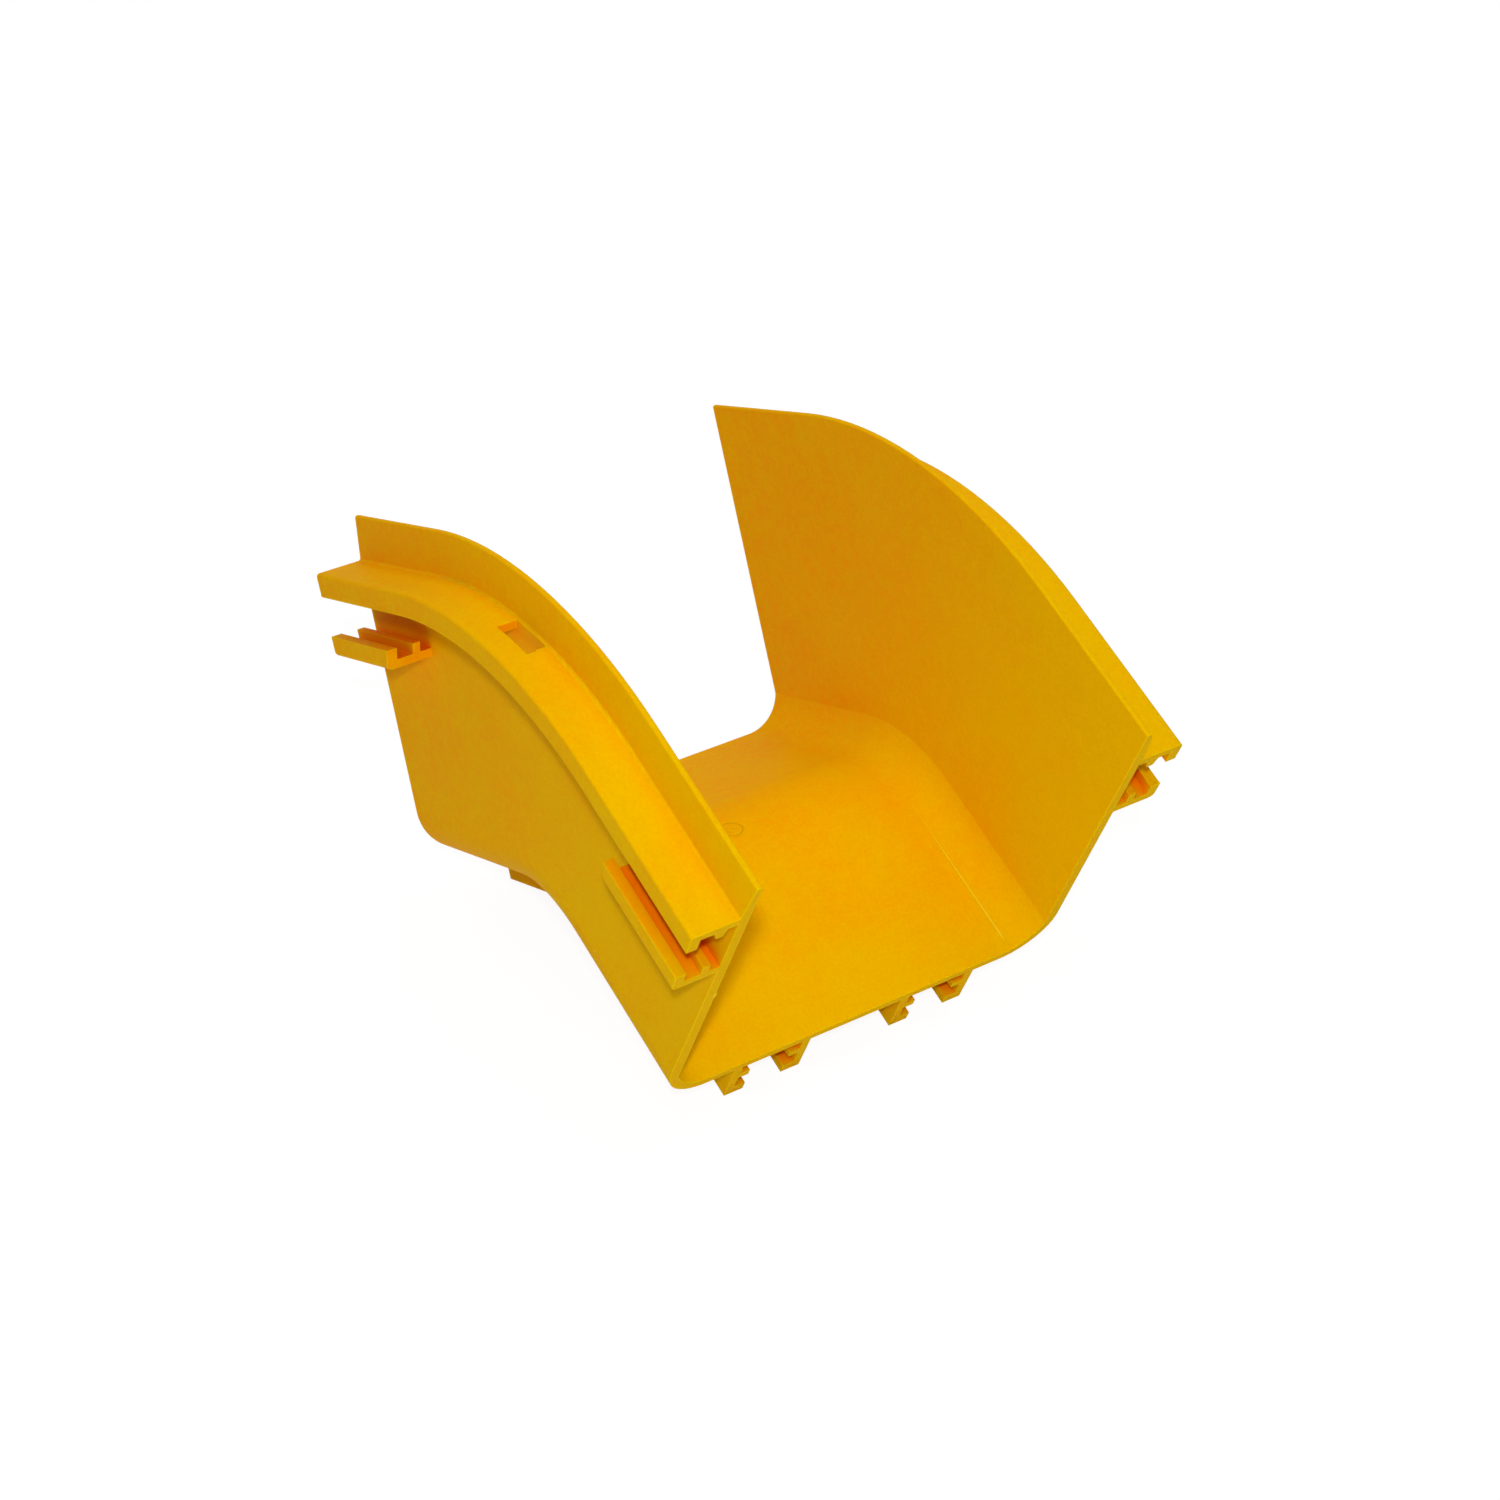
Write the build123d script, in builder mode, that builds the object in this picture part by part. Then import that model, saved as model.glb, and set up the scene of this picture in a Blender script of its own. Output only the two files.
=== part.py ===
from build123d import *
from math import cos, radians, sin, sqrt
import os

# Fibre raceway elbow: a U-shaped cable channel that comes up one slope, over a bend and down the other.
# Millimetres. X runs along the channel, Y across it, Z up. The elbow stands on its underside rails,
# with the origin on that surface, under the middle of the bend.

# Plan of the bend
bend_angle = 45.0
bend_radius = 41.0  # to the upper face of the floor
run_length = 48.3  # straight stretch at each end

# Channel section
channel_width = 120.8  # over the feet of the walls
wall_height = 95.3  # above the upper face of the floor
wall_lean = 1.2  # how far each wall leans in, outside up to its flange and inside up to its top
wall_thickness = 3.0  # at the foot
wall_top_thickness = 1.6
floor_thickness = 2.5
outer_corner_radius = 14.0
inner_corner_run = 11.2  # reach of the inner corner over the floor, up to the crease where it meets the wall
wall_edge_round = 0.6

# Flanges, which follow both walls from end to end
flange_drop = 11.9  # from the top of the wall down to the flange
flange_lip_height = 4.0
flange_edge_round = 1.0
flange_root_round = 0.8
window_length = 14.0  # opening through each flange at the middle of the bend
window_width = 5.7
window_ledge = 0.6  # between the window and the wall
window_step = 0.6  # the outer half of the window is longer by this much

# Rails for the joining clips: two facing strips, each with a lip along its edge and a rib inside.
# On the sides the flange is the upper strip of the two.
rail_width = 23.2  # over the backs of the two strips
rail_reach = 13.3  # how far a strip stands off the channel
side_rail_start = 53.3  # from the middle of the bend to the upright inboard ends
underside_rail_start = 27.7
strip_thickness = 2.4
strip_edge_round = 1.6
lip_thickness = 3.0
lip_height = 3.3
strip_rib_gap = 3.5  # between the channel and the rib
strip_rib_thickness = 2.1
strip_rib_height = 3.0
flange_rib_gap = 2.8
flange_rib_foot = 3.5
flange_rib_tip = 1.9
flange_rib_height = 2.6
underside_rail_spacing = 52.0

# Gate mark in the middle of the floor
gate_diameter = 6.5
gate_groove_width = 0.6
gate_groove_depth = 0.25

# Places that follow from the sizes above
half_bend = radians(bend_angle / 2)
half_width = channel_width / 2
flange_root = half_width - wall_lean  # outer face of the wall at the flange
flange_edge = flange_root + rail_reach
flange_level = wall_height - flange_drop
flange_under = flange_level - strip_thickness
side_rail_level = flange_level - rail_width
foot_radius = bend_radius - floor_thickness - rail_reach
bend_centre_height = run_length * sin(half_bend) - foot_radius * cos(half_bend)
bend_top_height = bend_centre_height + bend_radius
end_distance = bend_radius * sin(half_bend) + run_length * cos(half_bend)
end_height = bend_centre_height + bend_radius * cos(half_bend) - run_length * sin(half_bend)
rail_root = wall_thickness / 2  # how deep a strip is rooted in the channel


def end_plane(side):
    # Local X lies across the channel, local Y points up its walls and the normal points into the run
    return Plane(
        origin=(side * end_distance, 0, end_height),
        x_dir=(0, -side, 0),
        z_dir=(-side * cos(half_bend), 0, sin(half_bend)),
    )


def strip_corners():
    # Outline of a strip from its back at height 0: (distance off the channel, height)
    lip_start = rail_reach - lip_thickness
    lip_top = strip_thickness + lip_height
    rib_end = strip_rib_gap + strip_rib_thickness
    rib_top = strip_thickness + strip_rib_height
    return [
        (-rail_root, 0),
        (rail_reach, 0),
        (rail_reach, lip_top),
        (lip_start, lip_top),
        (lip_start, strip_thickness),
        (rib_end, strip_thickness),
        (rib_end, rib_top),
        (strip_rib_gap, rib_top),
        (strip_rib_gap, strip_thickness),
        (-rail_root, strip_thickness),
    ]


def flange_rib_corners():
    # Outline of the tapered rib under a flange, from the flange's top at depth 0: (distance off the wall, depth)
    taper = (flange_rib_foot - flange_rib_tip) / 2
    rib_end = flange_rib_gap + flange_rib_foot
    rib_tip = strip_thickness + flange_rib_height
    return [
        (rib_end, strip_thickness),
        (rib_end - taper, rib_tip),
        (flange_rib_gap + taper, rib_tip),
        (flange_rib_gap, strip_thickness),
    ]


# Path of the floor's upper face: up one run, over the bend and down the other run
with BuildLine(Plane.XZ) as floor_path:
    bend = CenterArc((0, bend_centre_height), bend_radius, 90 + bend_angle / 2, -bend_angle)
    Line((-end_distance, end_height), bend @ 0)
    Line(bend @ 1, (end_distance, end_height))

# Half of the channel's section, with its flange
inner_corner_radius = outer_corner_radius - floor_thickness
corner_rise = inner_corner_radius - sqrt(inner_corner_radius**2 - inner_corner_run**2)
wall_foot = half_width - wall_thickness
wall_top = wall_foot - wall_lean  # inner face of the wall at its top
with BuildSketch() as half_section:
    with BuildLine():
        floor_top = Line((0, 0), (wall_foot - inner_corner_run, 0))
        inner_corner = RadiusArc(floor_top @ 1, (wall_foot, corner_rise), -inner_corner_radius)
        wall_and_flange = Polyline(
            inner_corner @ 1,
            (wall_top, wall_height),
            (wall_top + wall_top_thickness, wall_height),
            (flange_root, flange_level),
            (flange_edge, flange_level),
            (flange_edge, flange_under - flange_lip_height),
            (flange_edge - lip_thickness, flange_under - flange_lip_height),
            (flange_edge - lip_thickness, flange_under),
            (flange_root, flange_under),
            (half_width, outer_corner_radius - floor_thickness),
        )
        outer_corner = RadiusArc(
            wall_and_flange @ 1,
            (half_width - outer_corner_radius, -floor_thickness),
            outer_corner_radius,
        )
        Polyline(outer_corner @ 1, (0, -floor_thickness), (0, 0))
    make_face()
    fillet(half_section.vertices().group_by(Axis.Y)[-1], wall_edge_round)
    fillet(half_section.vertices().group_by(Axis.X)[-1].sort_by(Axis.Y)[-1], flange_edge_round)
    fillet(half_section.vertices().sort_by_distance((flange_root, flange_level))[0], flange_root_round)

# Side strip and flange rib on the right-hand wall
with BuildSketch() as side_rail:
    with BuildLine():
        Polyline([(flange_root + off, side_rail_level + up) for off, up in strip_corners()], close=True)
    make_face()
    fillet(side_rail.vertices().group_by(Axis.X)[-1].sort_by(Axis.Y)[0], strip_edge_round)
    with BuildLine():
        Polyline([(flange_root + off, flange_level - down) for off, down in flange_rib_corners()], close=True)
    make_face()

# Two facing strips under the right-hand half of the floor
with BuildSketch() as underside_rail:
    for facing in (-1, 1):
        back = underside_rail_spacing / 2 - facing * rail_width / 2
        with BuildLine():
            Polyline([(back + facing * up, -floor_thickness - off) for off, up in strip_corners()], close=True)
        make_face()

# Rails of both ends, each from its end face to its upright inboard end
with BuildPart() as rails:
    for rail, start in ((side_rail, side_rail_start), (underside_rail, underside_rail_start)):
        for side in (-1, 1):
            with BuildPart(mode=Mode.PRIVATE) as rail_stock:
                with BuildSketch(end_plane(side)):
                    add(rail.sketch)
                    mirror(about=Plane.YZ)
                extrude(amount=run_length)
                split(bisect_by=Plane.YZ.offset(side * start), keep=Keep.TOP if side > 0 else Keep.BOTTOM)
            add(rail_stock.part)

with BuildPart() as raceway_elbow:
    # Channel with its flanges, carried along the whole path
    with BuildSketch(end_plane(-1)):
        add(half_section.sketch)
        mirror(about=Plane.YZ)
    sweep(path=floor_path.wires()[0])

    # Rails that stand on the channel at both ends
    add(rails.part)

    # Window through each flange, beside the wall
    window_height = bend_top_height + flange_level
    window_start = flange_root + window_ledge
    with BuildSketch(Plane.XY.offset(window_height + strip_thickness)):
        for side in (-1, 1):
            with Locations((0, side * (window_start + window_width / 2))):
                Rectangle(window_length, window_width)
            with Locations((window_step / 2, side * (window_start + 0.75 * window_width))):
                Rectangle(window_length + window_step, window_width / 2)
    extrude(amount=-3 * strip_thickness, mode=Mode.SUBTRACT)

    # Ring left by the moulding gate
    with BuildSketch(Plane.XY.offset(bend_top_height + gate_groove_depth)):
        Circle(gate_diameter / 2)
        Circle(gate_diameter / 2 - gate_groove_width, mode=Mode.SUBTRACT)
    extrude(amount=-2 * gate_groove_depth, mode=Mode.SUBTRACT)

raceway_elbow.part.label = "raceway_elbow"
os.makedirs("parts", exist_ok=True)
export_step(raceway_elbow.part, "parts/raceway_elbow.step")
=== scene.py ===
import math

import bpy
import numpy as np
from mathutils import Matrix, Vector


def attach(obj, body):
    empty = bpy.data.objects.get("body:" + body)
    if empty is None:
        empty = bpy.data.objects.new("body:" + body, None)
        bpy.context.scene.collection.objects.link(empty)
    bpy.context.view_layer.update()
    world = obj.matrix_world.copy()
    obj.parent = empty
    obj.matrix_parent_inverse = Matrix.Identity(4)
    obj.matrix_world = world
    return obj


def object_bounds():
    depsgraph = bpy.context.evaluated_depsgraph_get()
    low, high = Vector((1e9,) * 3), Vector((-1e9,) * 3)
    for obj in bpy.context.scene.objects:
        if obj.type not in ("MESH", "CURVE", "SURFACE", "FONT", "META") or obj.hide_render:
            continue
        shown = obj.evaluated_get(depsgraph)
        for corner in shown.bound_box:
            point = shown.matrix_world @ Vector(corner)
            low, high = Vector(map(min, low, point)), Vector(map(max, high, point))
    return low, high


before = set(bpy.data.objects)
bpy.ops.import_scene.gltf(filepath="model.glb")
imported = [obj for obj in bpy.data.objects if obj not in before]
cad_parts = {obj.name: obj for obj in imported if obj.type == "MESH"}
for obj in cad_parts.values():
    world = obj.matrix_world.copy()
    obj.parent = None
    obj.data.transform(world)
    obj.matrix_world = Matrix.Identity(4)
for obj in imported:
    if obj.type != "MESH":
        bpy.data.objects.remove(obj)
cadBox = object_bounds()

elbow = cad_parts["raceway_elbow"]
print("frame loaded, box", [round(v, 4) for v in (*cadBox[0], *cadBox[1])])

mm = 0.001

# Sizes of the elbow that the small marks are placed by, the same as in the CAD
elbowSizes = {
    "halfBend": math.radians(22.5),
    "wallHeight": 95.3 * mm,  # over the floor
    "bendRadius": 41 * mm,  # of the floor's upper face
    "runLength": 48.3 * mm,
    "cornerStart": 46.2 * mm,  # where the floor turns up into the inner corner
    "cornerRadius": 11.5 * mm,
}
bendTop = cadBox[1].z - elbowSizes["wallHeight"]  # floor height at the middle of the bend


class Wire:
    # A node socket that can be used in sums: each operator adds one Math node
    def __init__(self, sheet, socket):
        self.sheet = sheet
        self.socket = socket

    def sum(self, operation, first, second):
        return self.sheet.node("ShaderNodeMath", {"operation": operation}, [first, second])

    def __add__(self, other):
        return self.sum("ADD", self, other)

    def __radd__(self, other):
        return self.sum("ADD", other, self)

    def __sub__(self, other):
        return self.sum("SUBTRACT", self, other)

    def __rsub__(self, other):
        return self.sum("SUBTRACT", other, self)

    def __mul__(self, other):
        return self.sum("MULTIPLY", self, other)

    def __rmul__(self, other):
        return self.sum("MULTIPLY", other, self)

    def __truediv__(self, other):
        return self.sum("DIVIDE", self, other)

    def __rtruediv__(self, other):
        return self.sum("DIVIDE", other, self)

    def __pow__(self, other):
        return self.sum("POWER", self, other)


class Sheet:
    # The node sheet of one material or of the world
    def __init__(self, tree):
        self.tree = tree
        tree.nodes.clear()

    def node(self, kind, settings, sockets, output=0):
        # settings are set first, then sockets by place or by name, with values or wires
        made = self.tree.nodes.new(kind)
        for name, value in settings.items():
            if name == "stops":
                self.setStops(made.color_ramp, value)
            else:
                setattr(made, name, value)
        named = sockets.items() if isinstance(sockets, dict) else enumerate(sockets)
        for key, value in named:
            if isinstance(value, Wire):
                self.tree.links.new(value.socket, made.inputs[key])
            else:
                made.inputs[key].default_value = value
        return Wire(self, made.outputs[output]) if made.outputs else made

    def setStops(self, ramp, stops):
        while len(ramp.elements) < len(stops):
            ramp.elements.new(1.0)
        for element, (place, level) in zip(ramp.elements, sorted(stops)):
            element.position = place
            element.color = (level, level, level, 1)

    def mixColour(self, share, first, second):
        # first where share is 0, second where it is 1
        return self.node("ShaderNodeMix", {"data_type": "RGBA"}, {0: share, 6: first, 7: second}, 2)


# The colours are fitted to the photo. Stops say where a tint starts and where it is full.
yellowPlastic = {
    "colour": (0.86, 0.487, 0.0, 1),
    "cloudAndShadeColour": (0.92, 0.386, 0.0, 1),  # more orange, in random clouds, and painted shade that deepens towards the rear
    "cloudStops": (0.2, 0.8),
    "rearShadeDrift": 0.8,  # how far the clouds shift from rear to front, painting shade onto the rear
    "paleColour": (0.88, 0.515, 0.0, 1),  # of the mottle
    "mottleStops": (0.36, 0.66),
    "mottleShare": 0.45,
    "speckPale": (0.93, 0.57, 0.0, 1),
    "speckPaleStops": (0.5, 0.75),
    "speckDeep": (0.80, 0.36, 0.0, 1),
    "speckDeepStops": (0.5, 0.25),
    "speckShare": 0.25,
    "recessShadeColour": (0.93, 0.19, 0.0, 1),  # painted shade: darker orange in the hollows, stronger the more enclosed they are
    "recessShadeReach": 60 * mm,
    "recessShadeStops": (0.72, 0.1),
    "recessShadeCurve": 1.3,
    "recessShadeShare": 1.0,
    "edgeHighlightColour": (1.0, 0.68, 0.0, 1),  # painted highlight: a paler line along the edges
    "edgeHighlightWidth": 0.55 * mm,
    "edgeHighlightStops": (0.01, 0.15),
    "edgeRadius": 0.25 * mm,  # how round the edges look in the light
    "ringShadeColour": (0.62, 0.27, 0.0, 1),  # painted shade: darker groove round the gate
    "ringRadius": (2.95 * mm, 0.38 * mm),  # middle of the groove, and reach of the painted shade either way
    "ringHeight": 0.8 * mm,  # reach of the tint over and under the floor
    "ringShadeShare": 0.35,
    "flowNoise": (26 * mm, 3, 0.5),  # size, detail and roughness of the broad clouds
    "mottleNoise": (3.2 * mm, 2, 0.6),
    "speckNoise": (0.8 * mm, 1, 0.5),
    "grainNoise": (0.6 * mm, 2, 0.55),  # etched grain of the mould
    "grainDepth": 0.022 * mm,
    "waveNoise": (17 * mm, 1, 0.4),  # slow waviness of the moulded faces
    "waveDepth": 0.05 * mm,
    "roughness": 0.55,
    "mottleGloss": 0.09,  # how far the mottle changes the roughness
    "grainGloss": 0.1,  # and the grain
    "ior": 1.5,
    "specular": 0.012,
    "highlightTint": (1.0, 0.9, 0.05, 1),
    "glow": 0.3,  # share of the light that travels inside the plastic, red the furthest
    "glowReach": (1.0, 0.35, 0.05),
    "glowDepth": 2.0 * mm,
}

# The same plastic made paler on the crests of the flash: a painted highlight
highlightedCrest = dict(
    yellowPlastic,
    colour=(1.0, 0.59, 0.01, 1),
    cloudAndShadeColour=(0.95, 0.54, 0.0, 1),
    paleColour=(0.97, 0.6, 0.015, 1),
    edgeHighlightColour=(0.97, 0.6, 0.015, 1),
    speckShare=0.0,
    recessShadeShare=0.0,
)


def makeYellowPlastic(name, look):
    # Satin moulded plastic: clouds, mottle and specks in the colour, etched grain in the bump,
    # painted orange shade in the hollows, towards the rear and in the gate groove, and a painted highlight
    # along the edges
    material = bpy.data.materials.new(name)
    material.use_nodes = True
    sheet = Sheet(material.node_tree)
    place = sheet.node("ShaderNodeTexCoord", {}, [], "Object")

    def noise(values):
        size, detail, roughness = values
        settings = {"noise_dimensions": "3D"}
        sockets = {"Vector": place, "Scale": 1 / size, "Detail": detail, "Roughness": roughness}
        return sheet.node("ShaderNodeTexNoise", settings, sockets, "Fac")

    def ramp(value, stops):
        levels = [(stops[0], 0.0), (stops[1], 1.0)]
        return sheet.node("ShaderNodeValToRGB", {"stops": levels}, {"Fac": value})

    def near(value, middle, reach):
        # 1 within reach of the middle, 0 elsewhere
        return sheet.node("ShaderNodeMath", {"operation": "COMPARE"}, [value, middle, reach])

    def rounded(radius):
        # The normal as if the edges were rounded to that radius
        return sheet.node("ShaderNodeBevel", {"samples": 6}, {"Radius": radius})

    flow = noise(look["flowNoise"])
    mottle = noise(look["mottleNoise"])
    speck = noise(look["speckNoise"])
    grain = noise(look["grainNoise"])
    wave = noise(look["waveNoise"])

    # 1 on flat faces, less beside an edge
    flatAndRound = [rounded(look["edgeHighlightWidth"]), sheet.node("ShaderNodeNewGeometry", {}, [], "True Normal")]
    flatness = sheet.node("ShaderNodeVectorMath", {"operation": "DOT_PRODUCT"}, flatAndRound, "Value")

    # 1 in the open, less in the piece's own hollows, whatever it stands on
    ownShade = {"samples": 16, "only_local": True}
    openness = sheet.node("ShaderNodeAmbientOcclusion", ownShade, {"Distance": look["recessShadeReach"]}, "AO")

    x, y, z = (sheet.node("ShaderNodeSeparateXYZ", {}, {"Vector": place}, axis) for axis in "XYZ")
    forward = x / cadBox[1].x  # -1 rear, 1 front
    fromGate = (x * x + y * y) ** 0.5

    # painted shade: the drift deepens the colour towards the rear, where less light falls
    cloudsAndShade = ramp(flow + forward * (look["rearShadeDrift"] / 2), look["cloudStops"])
    mottled = ramp(mottle, look["mottleStops"]) * look["mottleShare"]
    paleSpecks = ramp(speck, look["speckPaleStops"]) * look["speckShare"]
    deepSpecks = ramp(speck, look["speckDeepStops"]) * look["speckShare"]
    # painted shade: darker orange in the piece's own hollows
    paintedRecessShade = ramp(openness, look["recessShadeStops"]) ** look["recessShadeCurve"] * look["recessShadeShare"]
    # painted highlight along the edges, kept off the hollows
    paintedEdgeHighlight = ramp(1 - flatness, look["edgeHighlightStops"]) * openness
    # painted shade in the groove round the gate
    paintedRingShade = near(fromGate, *look["ringRadius"]) * near(z, bendTop, look["ringHeight"]) * look["ringShadeShare"]

    colour = sheet.mixColour(cloudsAndShade, look["cloudAndShadeColour"], look["colour"])
    colour = sheet.mixColour(mottled, colour, look["paleColour"])
    colour = sheet.mixColour(paleSpecks, colour, look["speckPale"])
    colour = sheet.mixColour(deepSpecks, colour, look["speckDeep"])
    colour = sheet.mixColour(paintedRecessShade, colour, look["recessShadeColour"])
    colour = sheet.mixColour(paintedEdgeHighlight, colour, look["edgeHighlightColour"])
    colour = sheet.mixColour(paintedRingShade, colour, look["ringShadeColour"])

    roughness = look["roughness"] + (mottle - 0.5) * look["mottleGloss"] + (grain - 0.5) * look["grainGloss"]
    height = grain * look["grainDepth"] + wave * look["waveDepth"]
    bumps = {"Strength": 1.0, "Distance": 1.0, "Height": height, "Normal": rounded(look["edgeRadius"])}
    surface = sheet.node(
        "ShaderNodeBsdfPrincipled",
        {},
        {
            "Base Color": colour,
            "Roughness": roughness,
            "Normal": sheet.node("ShaderNodeBump", {}, bumps),
            "IOR": look["ior"],
            "Specular IOR Level": look["specular"],
            "Specular Tint": look["highlightTint"],
            "Subsurface Weight": look["glow"],
            "Subsurface Radius": look["glowReach"],
            "Subsurface Scale": look["glowDepth"],
        },
    )
    sheet.node("ShaderNodeOutputMaterial", {}, {"Surface": surface})
    return material


plastic = makeYellowPlastic("yellowPlastic", yellowPlastic)
# the crest material is paler plastic: a painted highlight on the witness line and the burr
crestHighlight = makeYellowPlastic("highlightedCrest", highlightedCrest)
elbow.data.materials.clear()
elbow.data.materials.append(plastic)
print("yellow plastic on the elbow")


sine, cosine = math.sin(elbowSizes["halfBend"]), math.cos(elbowSizes["halfBend"])
bendCentre = bendTop - elbowSizes["bendRadius"]
endX = elbowSizes["bendRadius"] * sine + elbowSizes["runLength"] * cosine
endZ = bendCentre + elbowSizes["bendRadius"] * cosine - elbowSizes["runLength"] * sine


def onFrontRun(inward, across, height):
    # Point of the front run: so far in from its end face, so far across and so high over its floor
    x = endX + height * sine - inward * cosine
    z = endZ + height * cosine + inward * sine
    return np.stack(np.broadcast_arrays(x, across, z), axis=-1)


def addRings(name, material, path, axes, reaches, sides=16):
    # An oval carried along a path, with its own reach to its right, left, top and bottom: point = path
    # + first axis x (right x cos t, or left x cos t where that is negative)
    # + second axis x (top x sin t, or bottom x sin t where that is negative),
    # with t once round, and both ends closed
    turn = np.linspace(0, 2 * np.pi, sides, endpoint=False)[None, :]
    right, left, top, bottom = (np.broadcast_to(reach, len(path))[:, None] for reach in reaches)
    first = right * np.maximum(np.cos(turn), 0) + left * np.minimum(np.cos(turn), 0)
    second = top * np.maximum(np.sin(turn), 0) + bottom * np.minimum(np.sin(turn), 0)
    sideways = first[:, :, None] * np.array(axes[0])
    upwards = second[:, :, None] * np.array(axes[1])
    points = path[:, None, :] + sideways + upwards

    rows = len(path)
    row = np.arange(rows - 1)[:, None] * sides
    here = np.arange(sides)[None, :]
    after = (here + 1) % sides
    corners = [row + here, row + after, row + after + sides, row + here + sides]
    faces = np.stack(corners, axis=-1).reshape(-1, 4)
    ends = [list(range(sides))[::-1], list(range((rows - 1) * sides, rows * sides))]

    mesh = bpy.data.meshes.new(name)
    mesh.from_pydata(points.reshape(-1, 3).tolist(), [], faces.tolist() + ends)
    mesh.validate()
    mesh.polygons.foreach_set("use_smooth", np.ones(len(mesh.polygons), bool))
    mesh.materials.append(material)
    piece = bpy.data.objects.new(name, mesh)
    bpy.context.scene.collection.objects.link(piece)
    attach(piece, "root")


witnessLine = {
    "across": 49.1 * mm,  # just inside the corner
    "inward": (48 * mm, 2.9 * mm),  # from and to, in from the front end face
    "nearWidth": 0.35 * mm,
    "farWidth": 0.45 * mm,
    "height": 0.22 * mm,
    "root": 1.2 * mm,  # how deep it is set in the floor
    "startSize": 0.1,  # share of its full size at the inboard end
    "tipLength": 0.03,  # share of its length that tapers at the front end
    "tipSize": 0.2,
    "rows": 60,
}


def makeWitnessLine():
    # Bead along the foot of the far corner, u from 0 inboard to 1 in front:
    # size = start + (1 - start) x (1 - (1 - u) squared), tapered over the tip
    look, sizes = witnessLine, elbowSizes
    share = np.linspace(0, 1, look["rows"])
    grown = look["startSize"] + (1 - look["startSize"]) * (1 - (1 - share) ** 2)
    size = grown * np.clip((1 - share) / look["tipLength"], look["tipSize"], 1)
    off = look["across"] - sizes["cornerStart"]
    depth = math.sqrt(sizes["cornerRadius"] ** 2 - off ** 2)
    inward = look["inward"][0] + (look["inward"][1] - look["inward"][0]) * share
    path = onFrontRun(inward, look["across"], sizes["cornerRadius"] - depth)
    lean, rise = off / sizes["cornerRadius"], depth / sizes["cornerRadius"]  # slope of the corner there
    axes = ((sine * lean, rise, cosine * lean), (sine * rise, -lean, cosine * rise))
    reaches = (size * look["farWidth"], size * look["nearWidth"], size * look["height"], look["root"])
    addRings("cornerWitnessLine", crestHighlight, path, axes, reaches)


flashBurr = {
    "wallFace": 56.8 * mm,  # inner face of the near wall at the burr
    "height": (46.6 * mm, 49.4 * mm),  # from and to, over the floor
    "inward": 0.1 * mm,  # in from the front end face
    "thickness": 0.35 * mm,
    "root": 0.8 * mm,  # how deep it is set in the wall
    "stretch": (0.04, 0.96),  # part of the half turn that is used, short of its pointed ends
    "rows": 24,
}


def makeFlashBurr():
    # Thin bit of flash on the front edge of the near wall: its reach is thickness x sine of half a turn
    # along its length
    look = flashBurr
    share = np.linspace(*look["stretch"], look["rows"])
    size = np.sin(np.pi * share) * look["thickness"]
    height = look["height"][0] + (look["height"][1] - look["height"][0]) * share
    path = onFrontRun(look["inward"], -look["wallFace"], height)
    axes = ((cosine, 0, -sine), (0, 1, 0))
    addRings("wallFlashBurr", crestHighlight, path, axes, (size, look["root"], size, look["root"]))


gateNub = {
    "radius": 1.1 * mm,
    "height": 0.16 * mm,
    "root": 1.0 * mm,  # how deep it is set in the floor
    "top": 0.97,  # u at the small flat on its top
    "rows": 14,
    "sides": 24,
}


def makeGateNub():
    # Low dome inside the gate ring: radius x root of (1 - u squared) at height x u, on a straight root
    look = gateNub
    share = np.concatenate([[0], np.linspace(0, look["top"], look["rows"])])
    height = look["height"] * share
    height[0] = -look["root"]
    path = np.stack([0 * share, 0 * share, bendTop + height], axis=-1)
    radius = look["radius"] * np.sqrt(1 - share ** 2)
    addRings("gateNub", plastic, path, ((1, 0, 0), (0, 1, 0)), (radius,) * 4, look["sides"])


makeWitnessLine()
makeFlashBurr()
makeGateNub()
print("witness line, flash burr and gate nub added")


white = (1, 1, 1, 1)
floorLook = {
    "size": 8.0,
    "drop": 0.2 * mm,  # below the feet of the rails
    "colour": (0.9, 0.9, 0.9, 1),
    "glow": 1.06,  # white seen straight on, a little over 1 to make up for the shadow's share
    "shadowShare": 0.12,  # how much of the shadow shows on the white
}


def seenDirectly(sheet):
    # 1 for camera, glossy and transmission rays, which see the white backdrop, and 0 for the rest
    kinds = ("Is Camera Ray", "Is Glossy Ray", "Is Transmission Ray")
    camera, glossy, through = (sheet.node("ShaderNodeLightPath", {}, [], kind) for kind in kinds)
    return sheet.node("ShaderNodeMath", {"operation": "MINIMUM"}, [camera + glossy + through, 1.0])


def makeFloor():
    # Flat square round the origin
    half = floorLook["size"] / 2
    points = np.array([[-1, -1, 0], [1, -1, 0], [1, 1, 0], [-1, 1, 0]]) * half
    mesh = bpy.data.meshes.new("floor")
    mesh.from_pydata(points.tolist(), [], [[0, 1, 2, 3]])
    material = bpy.data.materials.new("paleFloor")
    material.use_nodes = True
    sheet = Sheet(material.node_tree)
    lit = sheet.node("ShaderNodeBsdfDiffuse", {}, {"Color": floorLook["colour"]})
    glow = sheet.node("ShaderNodeEmission", {}, {"Color": white, "Strength": floorLook["glow"]})
    share = seenDirectly(sheet) * (1 - floorLook["shadowShare"])
    both = sheet.node("ShaderNodeMixShader", {}, [share, lit, glow])
    sheet.node("ShaderNodeOutputMaterial", {}, {"Surface": both})
    mesh.materials.append(material)
    floor = bpy.data.objects.new("floor", mesh)
    bpy.context.scene.collection.objects.link(floor)
    floor.location.z = -floorLook["drop"]


worldLook = {"ambient": 0.18}


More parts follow.
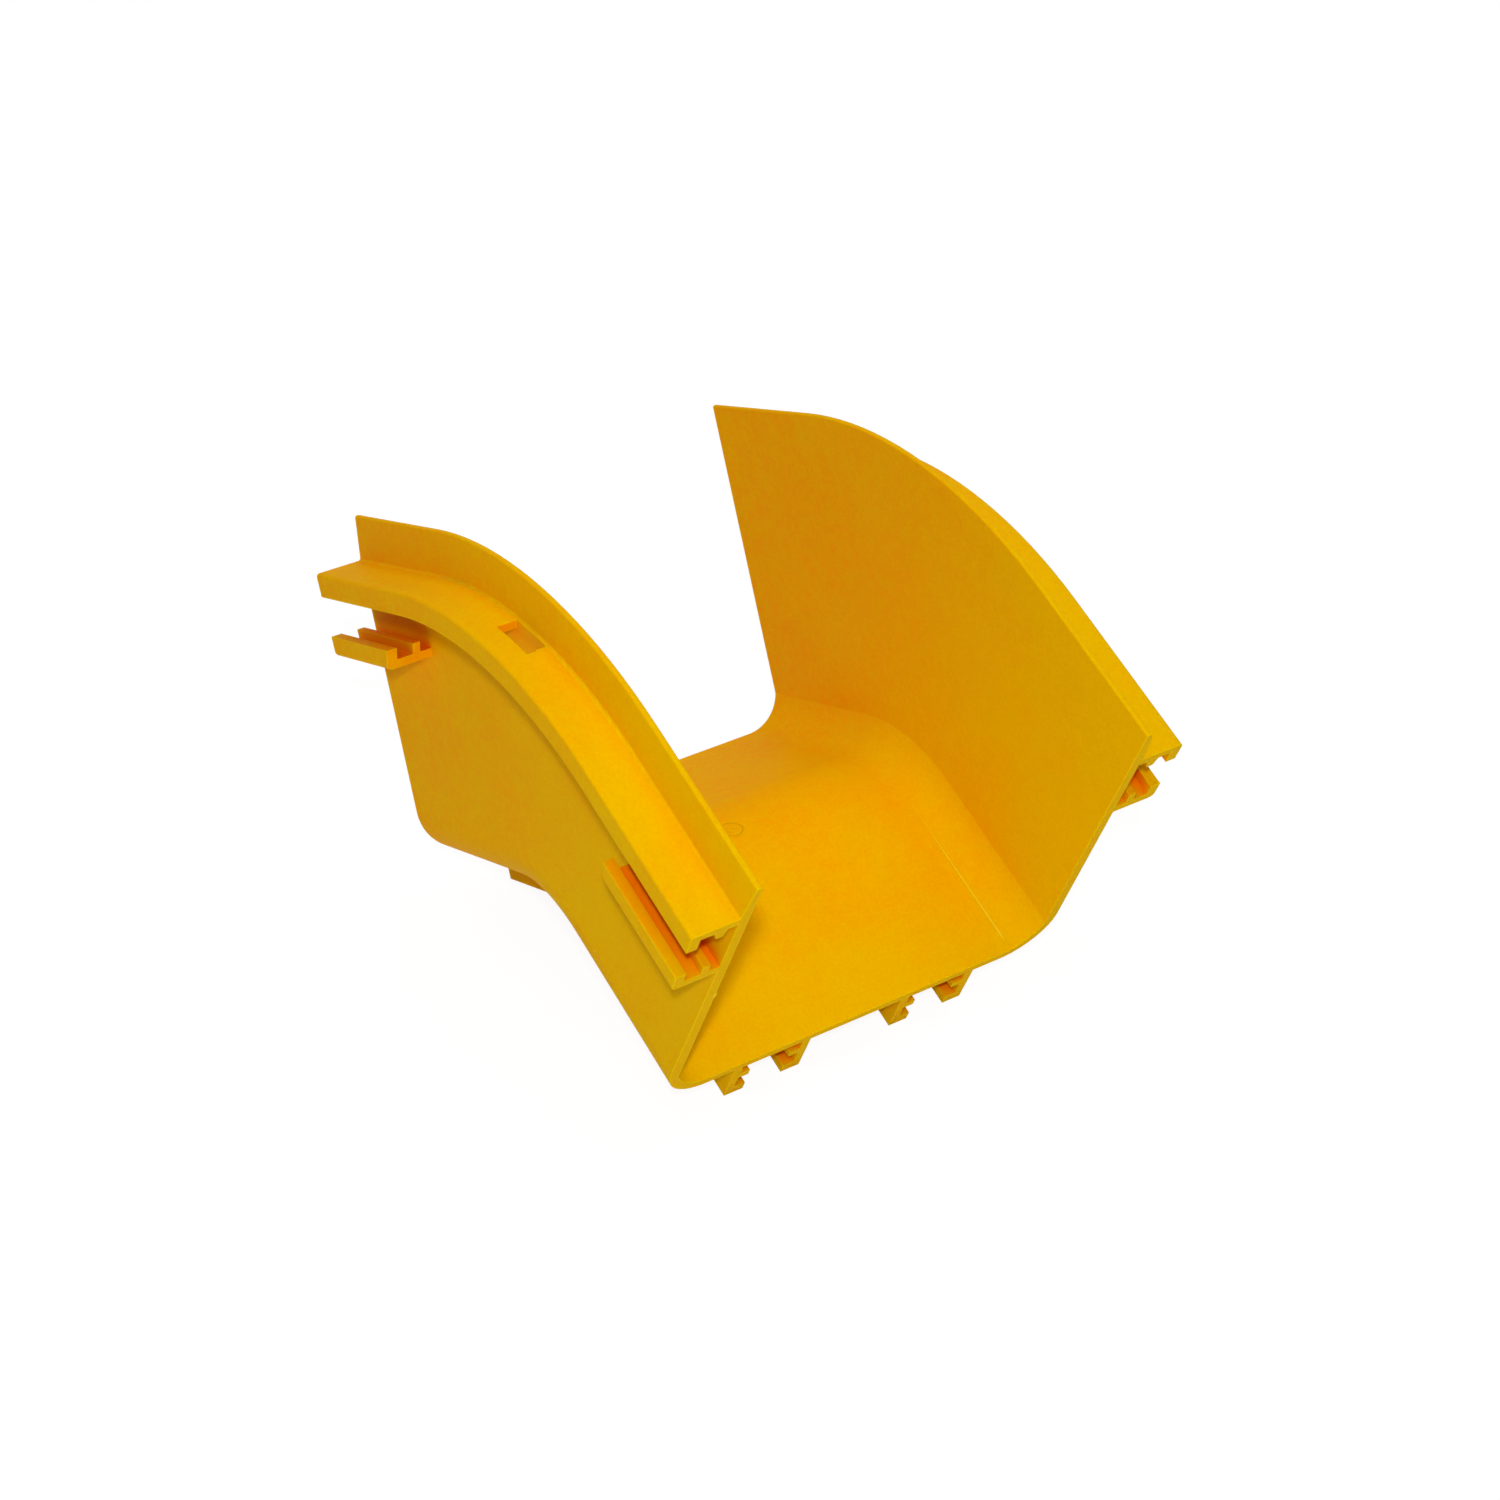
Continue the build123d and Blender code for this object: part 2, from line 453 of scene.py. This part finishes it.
def makeWorld():
    # White where it is seen, dim as a light
    world = bpy.data.worlds.new("whiteStudio")
    bpy.context.scene.world = world
    world.use_nodes = True
    sheet = Sheet(world.node_tree)
    seen = seenDirectly(sheet)
    strength = seen + (1 - seen) * worldLook["ambient"]
    back = sheet.node("ShaderNodeBackground", {}, {"Color": white, "Strength": strength})
    sheet.node("ShaderNodeOutputWorld", {}, {"Surface": back})


lamps = {
    "keyLamp": {"towards": (0.636, -0.434, 0.636), "distance": 1.03, "size": 0.05, "power": 4.85},
    "topSoftbox": {"towards": (0.05, 0.0, 1.0), "distance": 1.1, "size": 0.9, "power": 4.2},
    "nearSoftbox": {"towards": (0.1, -0.85, 0.5), "distance": 1.1, "size": 0.9, "power": 0.3},
    "rearSoftbox": {"towards": (-0.85, 0.0, 0.5), "distance": 1.1, "size": 0.9, "power": 1.0},
    "farSoftbox": {"towards": (-0.5, 0.82, 0.28), "distance": 1.1, "size": 0.9, "power": 2.4},
}


def makeLamps():
    # Square lamps that face the middle of the elbow
    aim = Vector((0, 0, (cadBox[0].z + cadBox[1].z) / 2))
    for name, look in lamps.items():
        data = bpy.data.lights.new(name, "AREA")
        data.shape = "SQUARE"
        data.size = look["size"]
        data.energy = look["power"]
        lamp = bpy.data.objects.new(name, data)
        bpy.context.scene.collection.objects.link(lamp)
        away = Vector(look["towards"]).normalized()
        lamp.location = aim + away * look["distance"]
        lamp.rotation_mode = "QUATERNION"
        lamp.rotation_quaternion = away.to_track_quat("Z", "Y")


cameraLook = {
    "azimuth": 55.69,  # degrees, fitted to the photo with the rest
    "elevation": 35.124,
    "roll": 1.164,
    "lookAt": (-3.46 * mm, 7.73 * mm, 57.13 * mm),
    "distance": 855 * mm,
    "focalPixels": 3227.2,  # focal length in pixels of the frame
    "framePixels": 1500,
    "sensorWidth": 36,
    "clip": (0.01, 50),
}


def makeCamera():
    # Looks at a point from an azimuth and elevation, then rolls about its own axis
    look = cameraLook
    azimuth, elevation = math.radians(look["azimuth"]), math.radians(look["elevation"])
    back = Vector((
        math.sin(azimuth) * math.cos(elevation),
        -math.cos(azimuth) * math.cos(elevation),
        math.sin(elevation),
    ))
    data = bpy.data.cameras.new("photoCamera")
    data.sensor_width = look["sensorWidth"]
    data.lens = look["focalPixels"] / look["framePixels"] * look["sensorWidth"]
    data.clip_start, data.clip_end = look["clip"]
    camera = bpy.data.objects.new("photoCamera", data)
    bpy.context.scene.collection.objects.link(camera)
    camera.location = Vector(look["lookAt"]) + back * look["distance"]
    level = (-back).to_track_quat("-Z", "Y")
    roll = Matrix.Rotation(math.radians(look["roll"]), 3, "Z").to_quaternion()
    camera.rotation_mode = "QUATERNION"
    camera.rotation_quaternion = level @ roll
    bpy.context.scene.camera = camera


makeFloor()
makeWorld()
makeLamps()
makeCamera()
bpy.context.scene.view_settings.view_transform = "Standard"
print("white studio and camera set")
